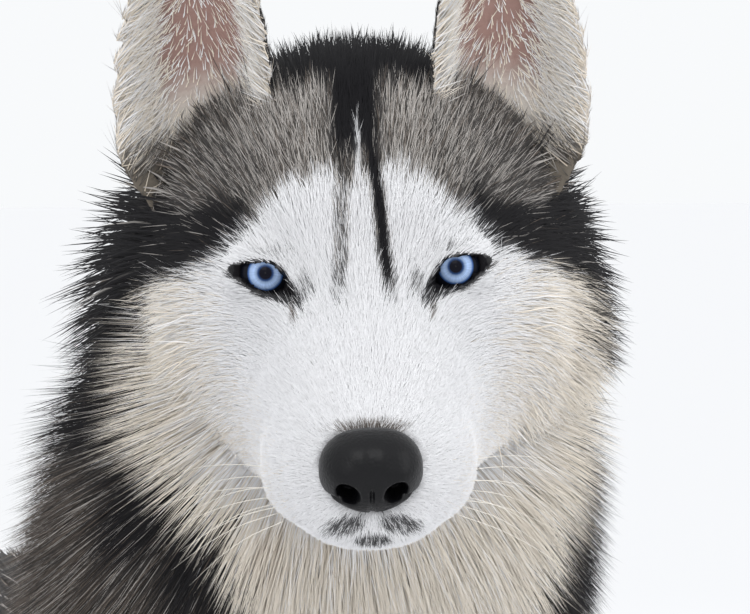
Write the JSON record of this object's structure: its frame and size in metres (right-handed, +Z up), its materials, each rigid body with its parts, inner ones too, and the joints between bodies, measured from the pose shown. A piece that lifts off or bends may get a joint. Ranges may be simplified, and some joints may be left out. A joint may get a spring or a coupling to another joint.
{
  "type": "siberian husky",
  "caption": "Life-size still model of a standing Siberian husky with its head turned, grey and white coat, pale blue eyes, upright ears and a hanging brush tail.",
  "frame": {"origin": "on the floor, under the middle of the dog's bounding box", "axes": "-Y the way the body faces, +X the dog's left, +Z up; the head is turned towards the dog's right"},
  "size_m": [0.2568, 0.9436, 0.8735],
  "materials": {
    "fur_white": "thick white guard hair over soft undercoat",
    "fur_grey": "banded grey, black and white guard hair",
    "fur_dark": "long black-tipped ruff and tail hair",
    "fur_cream": "short cream ear hair",
    "nose_leather": "moist pebbled black nose leather",
    "eye_blue": "wet clear cornea over a pale blue iris"
  },
  "bodies": {
    "root": {"head": "fur_white", "nose": "nose_leather", "eye_left": "eye_blue", "eye_right": "eye_blue", "ear_left": "fur_cream", "ear_right": "fur_cream", "neck": "fur_dark", "torso": "fur_grey", "foreleg_left": "fur_white", "foreleg_right": "fur_white", "forepaw_left": "fur_white", "forepaw_right": "fur_white", "thigh_left": "fur_grey", "thigh_right": "fur_grey", "shank_left": "fur_white", "shank_right": "fur_white", "hindpaw_left": "fur_white", "hindpaw_right": "fur_white", "tail_base": "fur_dark", "tail_tip": "fur_dark"}
  },
  "joints": []
}
